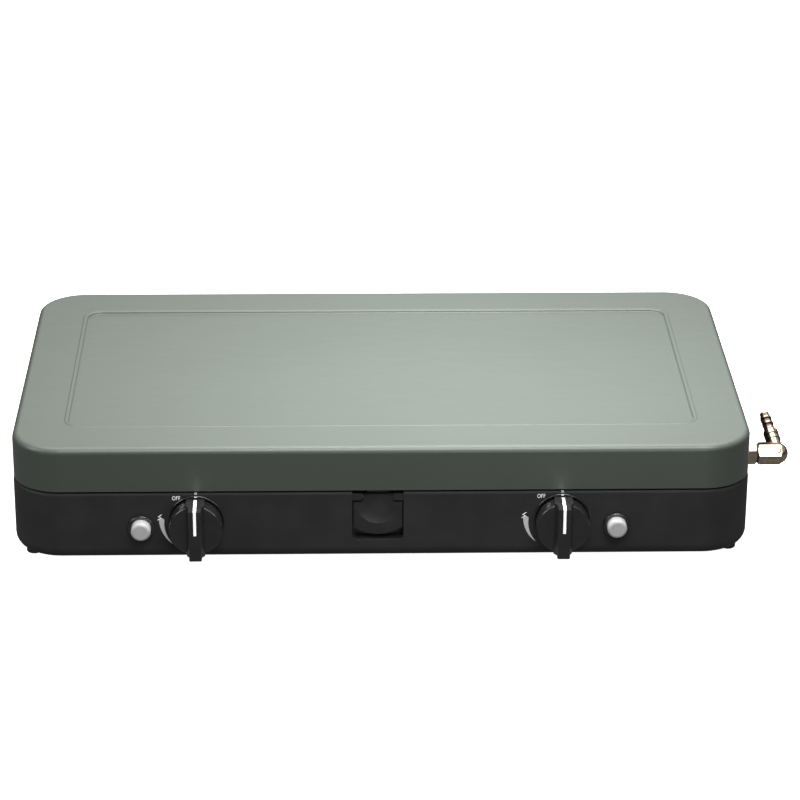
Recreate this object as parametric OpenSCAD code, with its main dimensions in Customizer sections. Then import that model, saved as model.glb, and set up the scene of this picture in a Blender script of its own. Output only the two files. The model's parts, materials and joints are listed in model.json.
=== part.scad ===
// Two burner table stove with a hinged lid and a gas inlet elbow on its right side.
// Millimetres. +X is the user's right, +Y is the rear, +Z is up, and Z = 0 is the table.
// Every sub-part is drawn about the middle of the case, then placed() moves the whole
// stove so that the origin is below the middle of its bounding box.

/* [Case] */
// Width of the case
case_w = 591; // [580:1:610]
// Depth of the case
case_d = 336; // [330:1:345]
// Height of the shoulder that the lid closes over
case_h = 62.4; // [61:0.2:64]
// Plan radius of the case's and the lid's corners
corner_r = 39; // [37:1:41]
// Radius between the case's walls and its floor
floor_r = 9.6; // [8:0.2:11]
// Radius of the shoulder along the top of the case's walls
shoulder_r = 3; // [2:0.5:4]
// Thickness of the steel sheet
sheet = 1.0; // [0.8:0.1:1.2]

/* [Lid] */
// Width of the lid
lid_w = 590; // [580:1:610]
// Depth of the lid
lid_d = 338; // [331:1:346]
// Height of the lid
lid_h = 36.9; // [35:0.1:40]
// Gap between the case's shoulder and the lid's lower edge
lid_gap = 1.6; // [1.2:0.1:2]
// Radius along the lid's top edges
lid_edge_r = 5; // [3:0.5:7]
// Width of the sunk panel in the lid
panel_w = 503; // [480:1:520]
// Depth of the sunk panel, front to back
panel_d = 246; // [230:1:255]
// Plan radius of the sunk panel's corners
panel_r = 12; // [8:1:20]
// How far the panel is sunk
panel_drop = 2.2; // [1.6:0.2:2.6]
// Height of the bead pressed around the sunk panel
bead_h = 0.4; // [0.2:0.1:0.6]

/* [Controls] */
// Place of the controls' middle across the case
controls_x = -2.8; // [-4:0.1:4]
// Distance between the two knobs
knob_spacing = 291; // [285:1:300]
// Height of the knobs' axes
knob_z = 37.3; // [36:0.1:38.5]
// Diameter of the knob's skirt
knob_d = 42; // [40:0.5:42]
// Length of the grip blade where it meets the skirt
grip_len = 46; // [43:0.5:47]
// Width of the grip blade's front
grip_w = 10; // [9:0.2:11]
// Distance from the case to the front of the grip blade
knob_reach = 29; // [27:0.5:30]
// Distance between the two igniter buttons
button_spacing = 378.6; // [375:0.2:385]
// Height of the igniter buttons' axes
button_z = 32.3; // [31:0.1:34]
// Diameter of an igniter button
button_d = 15.8; // [15:0.1:15.8]
// Distance that an igniter button stands out of the case
button_reach = 10.5; // [9.5:0.5:12]

/* [Latch] */
// Place of the latch across the case
latch_x = -3.9; // [-5:0.1:5]
// Width of the latch pocket
latch_w = 41; // [40:0.5:43]
// Height of the latch pocket's floor
latch_floor_z = 20; // [19:0.5:22]
// Height of the latch flap's pin
latch_pin_z = 56; // [55:0.5:56.5]

/* [Burners] */
// Distance of the burners' axes behind the middle of the case
burner_y = 8; // [0:1:15]
// Diameter of the burner crown
crown_d = 74; // [68:1:76]
// Height of the pan supports' top
support_z = 89; // [84:1:90]
// Diameter of the pan supports' wire
support_wire = 6; // [5:0.5:6]

/* [Gas inlet] */
// Position of the inlet along the case's depth
inlet_y = -41; // [-50:1:-35]
// Height of the inlet
inlet_z = 36; // [34:1:38]
// Diameter over the hose tail's rings
hose_tail_d = 9.8; // [8.5:0.1:10.5]
// Angle of the hose tail above level
tail_tilt = 22; // [0:1:30]
// Angle of the hose tail towards the case
tail_lean = 8.5; // [0:0.5:14]

/* [Feet] */
// Height of the rubber feet
foot_h = 4; // [3:0.5:5]
// Diameter of the rubber feet
foot_d = 12.6; // [12:0.2:14]

/* [Hidden] */

$fn = 64;
fine_fn = 128;
eps = 0.01;
left = -1;
right = 1;

// Shell
front_y = -case_d / 2;
rear_y = case_d / 2;
ledge_w = 11;
lid_z = case_h + lid_gap;
lid_top_z = lid_z + lid_h;
hem_h = 5;
wall_in_y = front_y + sheet;
screw_r = 1.6;

// Drip tray
tray_sheet = 0.8;
tray_inset = 6;
tray_r = corner_r - tray_inset;
tray_flange = 9;
tray_edge_r = 4;
tray_floor_z = 54;
tray_top_z = case_h + tray_sheet;
tray_screw_x = 205;
tray_screw_y = case_d / 2 - tray_inset - tray_flange / 2;

// Knobs and valves, measured forwards from the case's front face
knob_back = 5.4;
knob_face = 17.5;
knob_rim = 2.2;
knob_top_t = 3.5;
knob_push = 3;
ring_r = 22.8;
ring_h = 2;
ring_wall = 1.5;
grip_taper = 1.6;
pointer_w = 2.2;
spindle_r = 3;
spindle_fit = 0.06;
valve_r = 9;
valve_rear = 44;
valve_screw_x = 11;
valve_front_hole_r = 6;
chamber_r = 5.1;
chamber_front = 7;
chamber_rear = 32;
collar_len = 4;
collar_gap = 0.3;
injector_len = 11;
injector_hex = 10;

// Igniters
igniter_r = 8.9;
igniter_bore_r = 8.2;
igniter_rear = 43;
button_back = 8;
igniter_stop = 18;
igniter_tip = 2.5;
lead_r = 1.5;
lead_bend_r = 10;

// Latch
latch_axis_y = front_y + 6.5;
latch_wall = 1.5;
latch_depth = 13;
latch_barrel_r = 3.2;
latch_pin_r = 1.5;
latch_tab_w = 24.4;
latch_travel = 15;
flap_face_y = front_y + 1.2;
flap_t = 3.5;
flap_w = latch_w - 2.2;
flap_low_z = 24.6;
flap_sag = 6;
nib_w = 18;
nib_t = 2.5;
nib_top_z = lid_z + 4.5;
nib_hook = 0.5;
nib_front_y = latch_axis_y - 0.3;
nib_gap = 0.4;
catch_z = lid_z + 1.6;
catch_t = 1.2;
catch_w = nib_w + 2;
dish_r = 17;
dish_deep = 1.9;
dish_z = 51;

// Burners
mix_z = knob_z;
cup_r = 21;
cup_bore_r = 18;
cup_low_z = 26;
cup_flange_r = 30;
cup_collar_r = cup_r - 1;
mix_mouth_y = -104;
mix_bore_r = 6;
mix_wall = 2;
crown_low_z = tray_floor_z + 4;
crown_top_z = crown_low_z + 10;
cap_h = 4;
burner_screw_r = 26;

// Pan supports
support_half_x = 118;
support_half_y = 138;
support_corner_r = 14;
finger_end = 22;
finger_bend_r = 10;

// Hinges
hinge_x = 190;
hinge_y = lid_d / 2 + 4;
hinge_z = case_h - 0.4;
hinge_w = 50;
knuckle_r = 4;
hinge_pin_r = 2;
leaf_t = 1.5;
mid_knuckle_w = 17;
leaf_reach = 27;
rivet_x = 16;
rivet_up = 16;
rivet_drop = 18;
rivet_r = 1.6;
running_fit = 0.05;

// Gas pipe and inlet
pipe_r = 5;
pipe_bore_r = 3.5;
pipe_y = -128;
pipe_z = 16;
pipe_end = 18;
gas_port_r = 1.5;
inlet_hex = 17;
nipple_r = 6.5;
nipple_in_x = case_w / 2 - 14;
union_x = case_w / 2 + 10.5;
union_len = 9;
washer_t = 1.5;
elbow_x = union_x + union_len + washer_t;
elbow_len = 16.8;
elbow_ball_r = 8.8;
tail_len = 46;

// Feet
foot_x = case_w / 2 - 15.5;
foot_y = case_d / 2 - 25;
foot_stem_r = 2.6;
foot_edge_r = 1.4;

// Middle of the bounding box, seen from above
reach_right = elbow_x + elbow_len + elbow_ball_r;
reach_left = -case_w / 2;
reach_front = front_y - knob_reach;
reach_rear = hinge_y + knuckle_r;
middle = [(reach_right + reach_left) / 2, (reach_front + reach_rear) / 2, 0];

// Places across the case: each valve, knob and burner shares one axis, and each igniter another
function burner_at(side) = controls_x + side * knob_spacing / 2;
function igniter_at(side) = controls_x + side * button_spacing / 2;

module placed() {
  translate(-middle) children();
}

// ---- shapes that repeat ----

// A quarter of a ring in quadrant q, counted anticlockwise from +X +Y
module quarter_ring(r_out, r_in, q) {
  intersection() {
    difference() {
      circle(r_out);
      circle(r_in);
    }
    rotate(90 * q) square(r_out);
  }
}

// Sweeps a profile around a rounded rectangle: X is the distance out from the corner's centre
module swept_frame(w, d, r) {
  for (i = [0:3]) {
    run = i % 2 == 0 ? w - 2 * r : d - 2 * r;
    out = i % 2 == 0 ? d / 2 - r : w / 2 - r;
    rotate(90 * i) {
      translate([-run / 2, out, 0]) rotate([90, 0, 90]) linear_extrude(run) children();
      translate([run / 2, out, 0]) rotate_extrude(angle = 90, $fn = fine_fn) children();
    }
  }
}

module rounded_square(w, d, r) {
  square([w - 2 * r, d], center = true);
  square([w, d - 2 * r], center = true);
  for (x = [-1, 1], y = [-1, 1])
    translate([x * (w / 2 - r), y * (d / 2 - r)]) circle(r);
}

module rounded_slab(w, d, r, z0, z1) {
  translate([0, 0, z0]) linear_extrude(z1 - z0) rounded_square(w, d, r);
}

// A cylinder along +Y from y0 to y1, on the axis through x and z
module along_y(r, y0, y1, x = 0, z = 0) {
  translate([x, y0, z]) rotate([-90, 0, 0]) cylinder(r = r, h = y1 - y0);
}

module along_x(r, x0, x1, y = 0, z = 0) {
  translate([x0, y, z]) rotate([0, 90, 0]) cylinder(r = r, h = x1 - x0);
}

// A hexagonal prism along +X, given across its flats
module hex_along_x(flats, len) {
  rotate([0, 90, 0]) cylinder(d = flats / cos(30), h = len, $fn = 6);
}

// A hexagonal prism along +X, turned about its axis, with its corners chamfered at both ends
module turned_hex(flats, len, turn) {
  edge = 1.2;
  flat_r = flats / 2;
  corner = flat_r + 2;
  intersection() {
    rotate([turn, 0, 0]) hex_along_x(flats, len);
    rotate([0, 90, 0]) rotate_extrude()
      polygon([[0, 0], [flat_r, 0], [corner, edge], [corner, len - edge], [flat_r, len], [0, len]]);
  }
}

// A round wire along +X from x0 that turns down to z1 with a bend of radius r_bend
module finger(x_in, x_out, z_top, z_low, r_wire, r_bend) {
  along_x(r_wire, x_in, x_out - r_bend, 0, z_top);
  translate([x_in, 0, z_top]) sphere(r_wire);
  translate([x_out - r_bend, 0, z_top - r_bend]) rotate([90, 0, 0])
    rotate_extrude(angle = 90) translate([r_bend, 0]) circle(r_wire, $fn = 24);
  translate([x_out, 0, z_low]) cylinder(r = r_wire, h = z_top - r_bend - z_low);
}

// A compression spring along +Y, swept as one closed mesh
module coil_spring(mean_r, wire_r, length, turns) {
  per_turn = 14;
  sides = 6;
  rings = per_turn * turns;
  points = [
    for (i = [0:rings], k = [0:sides - 1])
      let (a = 360 * i / per_turn, b = 360 * k / sides, rr = mean_r + wire_r * cos(b))
        [rr * cos(a), wire_r + (length - 2 * wire_r) * i / rings + wire_r * sin(b), rr * sin(a)]
  ];
  skin = [
    for (i = [0:rings - 1], k = [0:sides - 1])
      let (a = i * sides + k, b = i * sides + (k + 1) % sides)
        each [[a, b, b + sides], [a, b + sides, a + sides]]
  ];
  ends = [
    [for (k = [sides - 1:-1:0]) k],
    [for (k = [0:sides - 1]) rings * sides + k],
  ];
  polyhedron(points, concat(skin, ends));
}

module raised_screw(head_r, head_h, shank_r, shank_len) {
  cylinder(r = shank_r, h = shank_len);
  translate([0, 0, shank_len]) {
    difference() {
      cylinder(r1 = head_r, r2 = head_r * 0.8, h = head_h);
      translate([0, 0, head_h / 2]) {
        cube([head_r * 1.2, head_r / 4, head_h + eps], center = true);
        cube([head_r / 4, head_r * 1.2, head_h + eps], center = true);
      }
    }
  }
}

// ---- case ----

module case_profile() {
  wall_low = foot_h + floor_r;
  wall_high = case_h - shoulder_r;
  translate([0, foot_h]) square([corner_r - floor_r, sheet]);
  translate([corner_r - floor_r, wall_low]) quarter_ring(floor_r, floor_r - sheet, 3);
  translate([corner_r - sheet, wall_low]) square([sheet, wall_high - wall_low]);
  translate([corner_r - shoulder_r, wall_high]) quarter_ring(shoulder_r, shoulder_r - sheet, 0);
  translate([corner_r - shoulder_r - ledge_w, case_h - sheet]) square([ledge_w, sheet]);
}

// Air inlets in the floor below one burner
module floor_vents() {
  for (i = [-3:3])
    translate([i * 11, 0, foot_h - eps]) linear_extrude(sheet + 2 * eps)
      rounded_square(4.5, 52, 2.2);
}

module base_pan() {
  color([0.13, 0.13, 0.135]) difference() {
    union() {
      swept_frame(case_w, case_d, corner_r) case_profile();
      translate([-case_w / 2 + corner_r, -case_d / 2 + corner_r, foot_h])
        cube([case_w - 2 * corner_r, case_d - 2 * corner_r, sheet]);
    }
    for (side = [left, right]) {
      along_y(valve_front_hole_r, front_y - 1, front_y + 2, burner_at(side), knob_z);
      for (x = [-1, 1])
        along_y(screw_r, front_y - 1, front_y + 2, burner_at(side) + x * valve_screw_x, knob_z);
      along_y(igniter_r + 0.1, front_y - 1, front_y + 2, igniter_at(side), button_z);
      at_burner(side) floor_vents();
      for (x = [-1, 1])
        along_y(rivet_r, rear_y - 2, rear_y + 1, side * hinge_x + x * rivet_x, hinge_z - rivet_drop);
    }
    // the opening that the latch housing shows through
    translate([latch_x, front_y + 20, 0]) latch_bay(0, 25);
    along_x(nipple_r + 0.1, case_w / 2 - 2, case_w / 2 + 1, inlet_y, inlet_z);
    for (x = [-1, 1], y = [-1, 1]) {
      translate([x * foot_x, y * foot_y, foot_h - 1]) cylinder(r = foot_stem_r, h = sheet + 2);
      translate([x * tray_screw_x, y * tray_screw_y, case_h - 2]) cylinder(r = screw_r, h = 3);
    }
  }
}

module rubber_feet() {
  color([0.06, 0.06, 0.06])
    for (x = [-1, 1], y = [-1, 1])
      translate([x * foot_x, y * foot_y, 0]) {
        rotate_extrude() {
          square([foot_d / 2 - foot_edge_r, foot_edge_r]);
          translate([foot_d / 2 - foot_edge_r, foot_edge_r]) quarter_ring(foot_edge_r, 0, 3);
          translate([0, foot_edge_r]) square([foot_d / 2, foot_h - foot_edge_r]);
        }
        cylinder(r = foot_stem_r, h = foot_h + sheet);
        translate([0, 0, foot_h + sheet]) cylinder(r1 = 3.4, r2 = 2, h = 3);
      }
}

// ---- drip tray ----

module tray_profile() {
  wall_x = tray_r - tray_flange;
  translate([0, tray_floor_z - tray_sheet]) square([wall_x - tray_edge_r, tray_sheet]);
  translate([wall_x - tray_edge_r, tray_floor_z - tray_sheet + tray_edge_r])
    quarter_ring(tray_edge_r, tray_edge_r - tray_sheet, 3);
  translate([wall_x - tray_sheet, tray_floor_z - tray_sheet + tray_edge_r])
    square([tray_sheet, tray_top_z - tray_floor_z + tray_sheet - tray_edge_r]);
  translate([wall_x - tray_sheet, case_h]) square([tray_flange + tray_sheet, tray_sheet]);
}

module drip_tray() {
  w = case_w - 2 * tray_inset;
  d = case_d - 2 * tray_inset;
  collar_h = 2.2;
  color([0.10, 0.10, 0.11]) difference() {
    union() {
      swept_frame(w, d, tray_r) tray_profile();
      translate([-w / 2 + tray_r, -d / 2 + tray_r, tray_floor_z - tray_sheet])
        cube([w - 2 * tray_r, d - 2 * tray_r, tray_sheet]);
      for (side = [left, right])
        at_burner(side) translate([0, 0, tray_floor_z - tray_sheet])
          cylinder(r = cup_collar_r + tray_sheet, h = collar_h);
    }
    for (side = [left, right]) {
      at_burner(side) translate([0, 0, tray_floor_z - 2]) {
        cylinder(r = cup_collar_r, h = 8);
        for (y = [-1, 1])
          translate([0, y * burner_screw_r, 0]) cylinder(r = screw_r, h = 4);
      }
      translate([igniter_at(side), burner_y, tray_floor_z - 2]) cylinder(r = 4, h = 4);
    }
    for (x = [-1, 1], y = [-1, 1])
      translate([x * tray_screw_x, y * tray_screw_y, case_h - 1]) cylinder(r = screw_r, h = 3);
    // notch in the flange that the latch nib swings into
    translate([latch_x - latch_w / 2 - 3, front_y, case_h - 1.5]) cube([latch_w + 6, 15.4, 5]);
  }
}

module tray_screws() {
  color("silver")
    for (x = [-1, 1], y = [-1, 1])
      translate([x * tray_screw_x, y * tray_screw_y, tray_top_z - 6]) raised_screw(3.2, 1.6, screw_r, 6);
}

// ---- burners ----

module at_burner(side) {
  translate([burner_at(side), burner_y, 0]) children();
}

module burner_cup(side) {
  mouth = mix_mouth_y - burner_y;
  flare = 3;
  color([0.72, 0.73, 0.74]) at_burner(side) difference() {
    union() {
      translate([0, 0, cup_low_z]) cylinder(r = cup_r, h = tray_floor_z - tray_sheet - cup_low_z);
      translate([0, 0, tray_floor_z - tray_sheet - 3]) cylinder(r = cup_flange_r, h = 3);
      along_y(mix_bore_r + mix_wall, mouth, -cup_r + 3, 0, mix_z);
      translate([0, mouth, mix_z]) rotate([-90, 0, 0])
        cylinder(r1 = mix_bore_r + mix_wall + flare, r2 = mix_bore_r + mix_wall, h = 7);
    }
    translate([0, 0, cup_low_z + 3]) cylinder(r = cup_bore_r, h = 40);
    along_y(mix_bore_r, mouth - 1, -cup_r / 2, 0, mix_z);
    translate([0, mouth - eps, mix_z]) rotate([-90, 0, 0])
      cylinder(r1 = mix_bore_r + flare, r2 = mix_bore_r, h = 6);
    for (y = [-1, 1])
      translate([0, y * burner_screw_r, tray_floor_z - 8]) cylinder(r = screw_r, h = 10);
  }
}

module burner_crown(side) {
  r = crown_d / 2;
  ports = 28;
  color([0.55, 0.56, 0.57]) at_burner(side) difference() {
    union() {
      translate([0, 0, crown_low_z]) cylinder(r = r, h = crown_top_z - crown_low_z);
      translate([0, 0, crown_low_z - 10]) cylinder(r = cup_bore_r - 0.2, h = 10 + eps);
    }
    translate([0, 0, crown_low_z - 11]) cylinder(r = cup_bore_r - 2.4, h = 14);
    translate([0, 0, crown_low_z + 2]) cylinder(r = r - 4, h = 10);
    for (i = [0:ports - 1])
      rotate(360 * i / ports) translate([r - 6, 0, crown_low_z + 6])
        rotate([0, 90, 0]) cylinder(r = 1.1, h = 8, $fn = 16);
  }
}

module burner_cap(side) {
  r = crown_d / 2 - 1.5;
  edge = 2;
  color([0.16, 0.16, 0.16]) at_burner(side) translate([0, 0, crown_top_z]) {
    rotate_extrude() {
      square([r - edge, cap_h]);
      square([r, cap_h - edge]);
      translate([r - edge, cap_h - edge]) quarter_ring(edge, 0, 0);
    }
    translate([0, 0, -2]) difference() {
      cylinder(r = r - 3, h = 2);
      translate([0, 0, -1]) cylinder(r = r - 5, h = 4);
    }
  }
}

module burner_screws() {
  color("silver")
    for (side = [left, right], y = [-1, 1])
      at_burner(side) translate([0, y * burner_screw_r, tray_floor_z - 6])
        raised_screw(3, 1.8, screw_r, 6);
}

module pan_support(side) {
  r = support_wire / 2;
  z0 = tray_floor_z + r;
  z1 = support_z - r;
  color([0.20, 0.20, 0.21]) translate([burner_at(side), 0, 0]) {
    translate([0, 0, z0])
      swept_frame(2 * support_half_x, 2 * support_half_y, support_corner_r)
        translate([support_corner_r, 0]) circle(r, $fn = 24);
    for (dir = [0, 180])
      translate([0, burner_y, 0]) rotate(dir)
        finger(finger_end, support_half_x, z1, z0, r, finger_bend_r);
    rotate(90) translate([burner_y, 0, 0])
      finger(finger_end, support_half_y - burner_y, z1, z0, r, finger_bend_r);
    rotate(-90) translate([-burner_y, 0, 0])
      finger(finger_end, support_half_y + burner_y, z1, z0, r, finger_bend_r);
  }
}

// ---- gas valves ----

module at_valve(side) {
  translate([burner_at(side), front_y, knob_z]) children();
}

module gas_valve(side) {
  plate_w = 34;
  plate_h = 14;
  saddle_w = 16;
  pipe_back = pipe_y - front_y;
  pipe_drop = knob_z - pipe_z;
  color([0.78, 0.62, 0.30]) at_valve(side) difference() {
    union() {
      along_y(valve_r, sheet, valve_rear);
      translate([-plate_w / 2, sheet, -plate_h / 2]) cube([plate_w, 2.5, plate_h]);
      translate([-saddle_w / 2, pipe_back - saddle_w / 2, -pipe_drop])
        cube([saddle_w, saddle_w, pipe_drop - injector_hex / 2 - 1.5]);
    }
    along_y(spindle_r + spindle_fit, 0, chamber_front + eps);
    along_y(chamber_r, chamber_front, chamber_rear);
    along_y(2.5, chamber_rear - eps, valve_rear + 1);
    translate([0, pipe_back, -pipe_drop]) {
      rotate([0, 90, 0]) cylinder(r = pipe_r, h = 40, center = true);
      cylinder(r = gas_port_r, h = pipe_drop);
    }
    for (x = [-1, 1])
      along_y(screw_r, 0, 6, x * valve_screw_x);
  }
}

module valve_screws() {
  color("silver")
    for (side = [left, right], x = [-1, 1])
      at_valve(side) translate([x * valve_screw_x, 4.5, 0]) rotate([90, 0, 0])
        raised_screw(2.9, 1.6, screw_r, 4.5);
}

module injector(side) {
  color([0.85, 0.70, 0.35]) at_valve(side) translate([0, valve_rear, 0]) difference() {
    union() {
      rotate([-90, 0, 0]) cylinder(d = injector_hex / cos(30), h = 5, $fn = 6);
      along_y(3, 4, injector_len);
      along_y(2.5, -4, 1);
    }
    along_y(1.2, -5, injector_len - 2);
    along_y(0.5, injector_len - 3, injector_len + 1);
  }
}

module valve_spindle(side) {
  tip = -knob_face + 1;
  color([0.80, 0.66, 0.35]) at_valve(side) difference() {
    along_y(spindle_r, tip, 18);
    translate([-5, tip - 1, spindle_r - 0.8]) cube([10, knob_face - knob_back + 1, 5]);
  }
}

module thrust_collar(side) {
  color([0.70, 0.70, 0.68]) at_valve(side) difference() {
    along_y(chamber_r - 0.1, chamber_front + collar_gap, chamber_front + collar_gap + collar_len);
    along_y(spindle_r + spindle_fit, 0, 30);
  }
}

module valve_spring(side) {
  y0 = chamber_front + collar_gap + collar_len;
  color([0.75, 0.76, 0.78]) at_valve(side) translate([0, y0, 0])
    coil_spring(4.1, 0.35, chamber_rear - y0, 6);
}

// ---- gas pipe and inlet ----

// The pipe's route: along X below the valves, back along Y, then up and out to the inlet
module pipe_route(r) {
  bend = (inlet_z - pipe_z) / 2;
  leg_x = nipple_in_x - bend + 2;
  along_x(r, burner_at(left) - pipe_end, leg_x - bend, pipe_y, pipe_z);
  translate([leg_x - bend, pipe_y + bend, pipe_z]) rotate(-90)
    rotate_extrude(angle = 90) translate([bend, 0]) circle(r, $fn = 32);
  along_y(r, pipe_y + bend, inlet_y - bend, leg_x, pipe_z);
  translate([leg_x, inlet_y - bend, pipe_z + bend]) rotate([90, 0, 90]) rotate(-90)
    rotate_extrude(angle = 90) translate([bend, 0]) circle(r, $fn = 32);
  translate([leg_x + bend, inlet_y, inlet_z - bend]) rotate([90, 0, 0]) rotate(90)
    rotate_extrude(angle = 90) translate([bend, 0]) circle(r, $fn = 32);
}

module gas_manifold() {
  color([0.70, 0.71, 0.72]) {
    difference() {
      pipe_route(pipe_r);
      pipe_route(pipe_bore_r);
      for (side = [left, right])
        translate([burner_at(side), pipe_y, pipe_z]) cylinder(r = gas_port_r, h = pipe_r + 1);
    }
    along_x(pipe_r, burner_at(left) - pipe_end - 2, burner_at(left) - pipe_end, pipe_y, pipe_z);
  }
}

module inlet_fitting() {
  color([0.78, 0.70, 0.52]) translate([0, inlet_y, inlet_z]) difference() {
    union() {
      along_x(nipple_r, nipple_in_x, union_x + 1);
      translate([case_w / 2 - sheet - 6, 0, 0]) hex_along_x(19, 6);
      translate([union_x, 0, 0]) turned_hex(inlet_hex, union_len, -5);
    }
    along_x(pipe_r, nipple_in_x - 1, nipple_in_x + 8);
    along_x(2.5, nipple_in_x, union_x + union_len + 1);
  }
}

module inlet_locknut() {
  color([0.78, 0.70, 0.52]) translate([case_w / 2, inlet_y, inlet_z]) difference() {
    hex_along_x(19, 5);
    along_x(nipple_r, -1, 6);
  }
}

module sealing_washer() {
  color([0.05, 0.05, 0.05]) translate([union_x + union_len, inlet_y, inlet_z]) difference() {
    along_x(7.9, 0, washer_t);
    along_x(2.5, -1, washer_t + 1);
  }
}

// Outline of the hose tail along +Z: neck, two collars, then rings with a short land and a slope
module tail_profile() {
  crest = hose_tail_d / 2;
  root = crest - 1;
  neck = crest + 0.9;
  collar_r = crest + 1.5;
  collars = [[14, 17], [19.5, 24]];
  first_ring = 26;
  pitch = 6.4;
  land = 1.6;
  slope = 4;
  necks = [
    for (z = collars)
      each [[neck, z[0]], [collar_r, z[0]], [collar_r, z[1]], [neck, z[1]]]
  ];
  rings = [
    for (i = [0:2])
      let (z = first_ring + i * pitch)
        each [[root, z], [crest, z], [crest, z + land], [root, z + land + slope]]
  ];
  polygon(concat(
    [[0, 0], [neck, 0]],
    necks,
    [[root, collars[1][1]]],
    rings,
    [[root, tail_len], [0, tail_len]]
  ));
}

module hose_elbow() {
  color([0.80, 0.70, 0.50]) translate([elbow_x, inlet_y, inlet_z]) difference() {
    union() {
      turned_hex(inlet_hex, elbow_len + 2.5, 21);
      translate([elbow_len, 0, 0]) sphere(elbow_ball_r);
      hose_tail_frame() rotate_extrude() tail_profile();
    }
    along_x(3.2, -1, elbow_len + 2);
    hose_tail_frame() cylinder(r = 2.5, h = tail_len + 1);
  }
}

// Turns +Z to the hose tail's direction, from the middle of the elbow's ball
module hose_tail_frame() {
  translate([elbow_len, 0, 0]) rotate([0, 0, tail_lean]) rotate([tail_tilt - 90, 0, 0]) children();
}

// ---- knobs ----

// Draws in the knob's own frame: +Y points into the case, Z = 0 is the axis
module knob(side) {
  skirt_r = knob_d / 2;
  edge = 1.2;
  color([0.09, 0.09, 0.09]) at_valve(side) difference() {
    union() {
      translate([0, -knob_back, 0]) rotate([90, 0, 0]) rotate_extrude() {
        depth = knob_face - knob_back;
        square([skirt_r - edge, depth]);
        square([skirt_r, depth - edge]);
        translate([skirt_r - edge, depth - edge]) quarter_ring(edge, 0, 0);
      }
      knob_grip();
    }
    // hollow behind the skirt, around the hub
    difference() {
      along_y(skirt_r - knob_rim, -knob_face + knob_top_t, 0);
      along_y(7, -knob_face, 1);
    }
    intersection() {
      along_y(spindle_r, -knob_face + 1, 1);
      translate([-5, -knob_face, -5]) cube([10, 14, 5 + spindle_r - 0.8]);
    }
    pointer_groove(0);
  }
}

// The grip blade: wide where it meets the skirt, then narrow, and a little shorter at its front
module knob_grip() {
  half = grip_w / 2;
  foot = half + 2.3;
  back = ring_h + knob_push + 0.7;
  edge = 1.4;
  intersection() {
    translate([0, 0, -grip_len / 2]) linear_extrude(grip_len) {
      translate([-half, -knob_reach + edge]) square([2 * half, knob_reach - edge - back]);
      translate([-half + edge, -knob_reach]) square([2 * (half - edge), edge + 1]);
      for (x = [-1, 1])
        translate([x * (half - edge), -knob_reach + edge]) circle(edge);
      polygon([[-foot, -back], [foot, -back], [foot, -knob_face], [half, -knob_face - 4],
               [-half, -knob_face - 4], [-foot, -knob_face]]);
    }
    rotate([90, 0, 90]) linear_extrude(2 * foot, center = true)
      for (up = [0, 1])
        mirror([0, up])
          polygon([[-knob_reach, 0], [-knob_reach, grip_end(knob_reach)],
                   [-back, grip_end(back)], [-back, 0]]);
    rotate([90, 0, 0]) linear_extrude(knob_reach) rounded_square(grip_w + 8, grip_len, 4);
  }
}

// Height of the grip blade's end above the axis, that far in front of the case
function grip_end(reach) = grip_len / 2 - grip_taper * reach / knob_reach;

// The groove that the pointer strip lies in, or the strip itself when proud is above 0
module pointer_groove(proud) {
  deep = 0.8;
  low = 1;
  front = -knob_reach;
  back = 8.8;
  rotate([90, 0, 90]) linear_extrude(pointer_w, center = true)
    polygon([[front - proud, low], [front - proud, grip_end(knob_reach) + proud],
             [-back, grip_end(back) + proud], [-back, grip_end(back) - deep],
             [front + deep, grip_end(knob_reach) - deep], [front + deep, low]]);
}

module pointer(side) {
  color("white") at_valve(side) pointer_groove(0.15);
}

module knob_ring(side) {
  inner = ring_r - ring_wall;
  color([0.11, 0.11, 0.11]) at_valve(side) rotate([90, 0, 0]) rotate_extrude() {
    translate([15, 0]) square([inner - 15, 0.8]);
    translate([inner, 0]) square([ring_wall, ring_h - ring_wall / 2]);
    translate([inner + ring_wall / 2, ring_h - ring_wall / 2]) circle(ring_wall / 2);
  }
}

// ---- igniters ----

module at_igniter(side) {
  translate([igniter_at(side), front_y, button_z]) children();
}

module igniter_body(side) {
  flange_r = igniter_r + 2.6;
  color([0.08, 0.08, 0.08]) at_igniter(side) difference() {
    union() {
      along_y(igniter_r, -2.4, igniter_rear);
      along_y(flange_r, sheet, sheet + 2);
      along_y(3.5, igniter_rear - eps, igniter_rear + igniter_tip);
    }
    along_y(igniter_bore_r, -5, igniter_stop);
    along_y(lead_r, igniter_rear - 4, igniter_rear + igniter_tip + 1);
  }
}

module igniter_button(side) {
  r = button_d / 2;
  dome = 2.6;
  color([0.45, 0.46, 0.47]) at_igniter(side)
    translate([0, button_back, 0]) rotate([90, 0, 0]) rotate_extrude() {
      len = button_back + button_reach;
      square([r - dome, len]);
      square([r, len - dome]);
      translate([r - dome, len - dome]) quarter_ring(dome, 0, 0);
    }
}

module igniter_ring(side) {
  r = igniter_r + 1.9;
  edge = 1.1;
  h = 3;
  color([0.10, 0.10, 0.10]) at_igniter(side) rotate([90, 0, 0]) rotate_extrude() {
    translate([igniter_r, 0]) square([r - igniter_r, h - edge]);
    translate([igniter_r, 0]) square([r - edge - igniter_r, h]);
    translate([r - edge, h - edge]) quarter_ring(edge, 0, 0);
  }
}

module igniter_spring(side) {
  color([0.75, 0.76, 0.78]) at_igniter(side) translate([0, button_back, 0])
    coil_spring(5.5, 0.4, igniter_stop - button_back, 4);
}

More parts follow.
